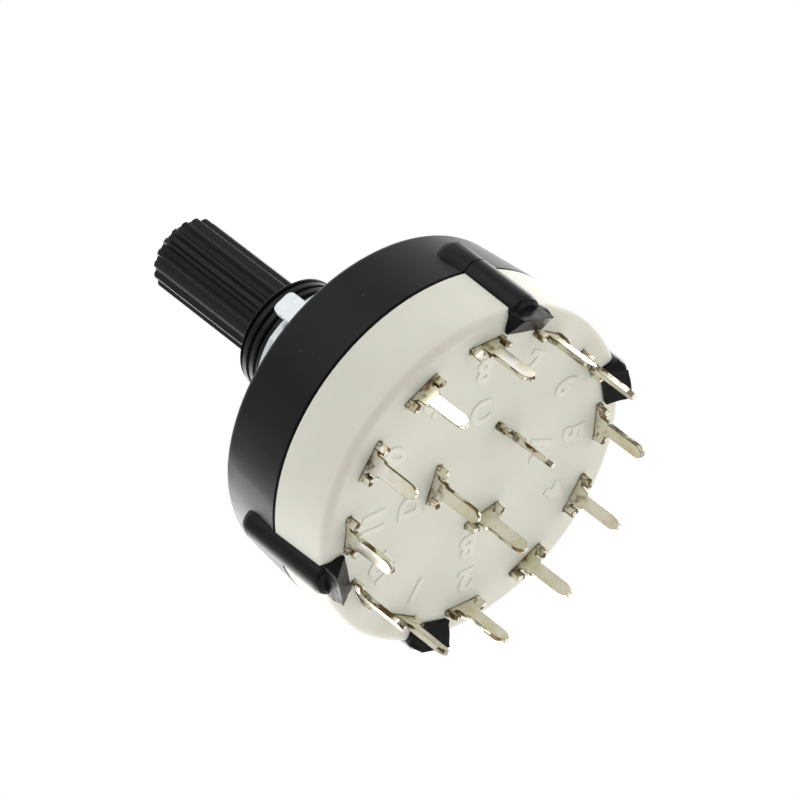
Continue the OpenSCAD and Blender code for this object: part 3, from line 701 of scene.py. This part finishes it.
# Pale paper: matt and nearly white from above, and clear from below, where the camera looks up through it
floor_paper, tree = start_material("pale_paper")
seen_from = add(tree, "ShaderNodeNewGeometry").outputs["Backfacing"]
place = add(tree, "ShaderNodeTexCoord").outputs["Object"]
fibres = add(tree, "ShaderNodeTexNoise", {"Vector": place, "Scale": grain(1.5)})
tone = add(tree, "ShaderNodeValToRGB", {"Fac": fibres.outputs["Fac"]})
set_ramp(tone, 0.3, "#f1f1ef", 0.7, "#f4f4f2")
paper = add(tree, "ShaderNodeBsdfPrincipled", {"Base Color": tone.outputs["Color"], "Roughness": 0.9})
clear = add(tree, "ShaderNodeBsdfTransparent")
faced = add(tree, "ShaderNodeMixShader", {
    0: seen_from, 1: paper.outputs["BSDF"], 2: clear.outputs["BSDF"],
})
add(tree, "ShaderNodeOutputMaterial", {"Surface": faced.outputs["Shader"]})
sheet = bmesh.new()
sheet.faces.new([
    sheet.verts.new((x * FLOOR_HALF, y * FLOOR_HALF, floor_z))
    for x, y in ((-1, -1), (1, -1), (1, 1), (-1, 1))
])
floor_mesh = bpy.data.meshes.new("floor")
sheet.to_mesh(floor_mesh)
sheet.free()
floor_mesh.materials.append(floor_paper)
floor = new_object("floor", floor_mesh)
floor.visible_diffuse = False
floor.visible_glossy = False
floor.visible_shadow = False

# The room glows from behind the switch and fades towards the camera: each stop is a share of the way from
# the camera to the back, with its brightness. The camera itself sees plain white.
GLOW = 1.2
ROOM_STOPS = ((0.08, 0.2), (0.3, 0.6), (0.8, 1.0))
world = bpy.data.worlds.new("pale_room")
bpy.context.scene.world = world
world.use_nodes = True
tree = world.node_tree
tree.nodes.clear()
toward = add(tree, "ShaderNodeTexCoord").outputs["Generated"]
depth = add(tree, "ShaderNodeVectorMath", {0: toward, 1: view}, operation="DOT_PRODUCT")
depth_share = add(tree, "ShaderNodeMapRange", {
    "Value": depth.outputs["Value"], "From Min": -1.0, "From Max": 1.0,
})
room_tone = add(tree, "ShaderNodeValToRGB", {"Fac": depth_share.outputs["Result"]})
room_tone.color_ramp.interpolation = "EASE"
room_tone.color_ramp.elements.new(0.55)
for stop, (share, level) in zip(room_tone.color_ramp.elements, ROOM_STOPS):
    stop.position = share
    stop.color = (level, level, level, 1.0)
glow = add(tree, "ShaderNodeMath", {0: room_tone.outputs["Color"], 1: GLOW}, operation="MULTIPLY")
room = add(tree, "ShaderNodeBackground", {"Color": (1, 1, 1, 1), "Strength": glow.outputs["Value"]})
backdrop = add(tree, "ShaderNodeBackground", {"Color": (1, 1, 1, 1), "Strength": 1.0})
seen_directly = add(tree, "ShaderNodeLightPath").outputs["Is Camera Ray"]
both = add(tree, "ShaderNodeMixShader", {
    0: seen_directly, 1: room.outputs["Background"], 2: backdrop.outputs["Background"],
})
add(tree, "ShaderNodeOutputWorld", {"Surface": both.outputs["Shader"]})
bpy.context.scene.view_settings.view_transform = "Standard"

# Each panel: the way to it (right, up and towards the viewer), its distance and width in metres, its power
# in watts, and whether it only shows as gloss
for name, way, distance, width, power, gloss_only in (
    ("upper_left_panel", (-0.52, 0.70, 0.48), 0.6, 0.50, 1.15, False),
    ("lower_right_panel", (0.75, -0.45, 0.48), 0.6, 0.50, 0.9, False),
    ("upper_right_window", (0.56, 0.42, -0.70), 0.5, 0.36, 2.4, True),
    ("lower_left_window", (-0.50, -0.54, -0.68), 0.5, 0.40, 2.0, True),
    ("upper_right_wash", (0.62, 0.72, -0.10), 0.5, 0.45, 0.12, False),
    ("lower_left_wash", (-0.50, -0.85, -0.10), 0.5, 0.45, 0.52, False),
):
    lamp = bpy.data.lights.new(name, "AREA")
    lamp.shape = "SQUARE"
    lamp.size = width
    lamp.energy = power
    hung = new_object(name, lamp)
    hung.visible_diffuse = not gloss_only
    spot = AIM + distance * (right * way[0] + up * way[1] - view * way[2]).normalized()
    aimed = (spot - AIM).to_track_quat("Z", "Y").to_matrix().to_4x4()
    hung.matrix_world = Matrix.Translation(spot) @ aimed
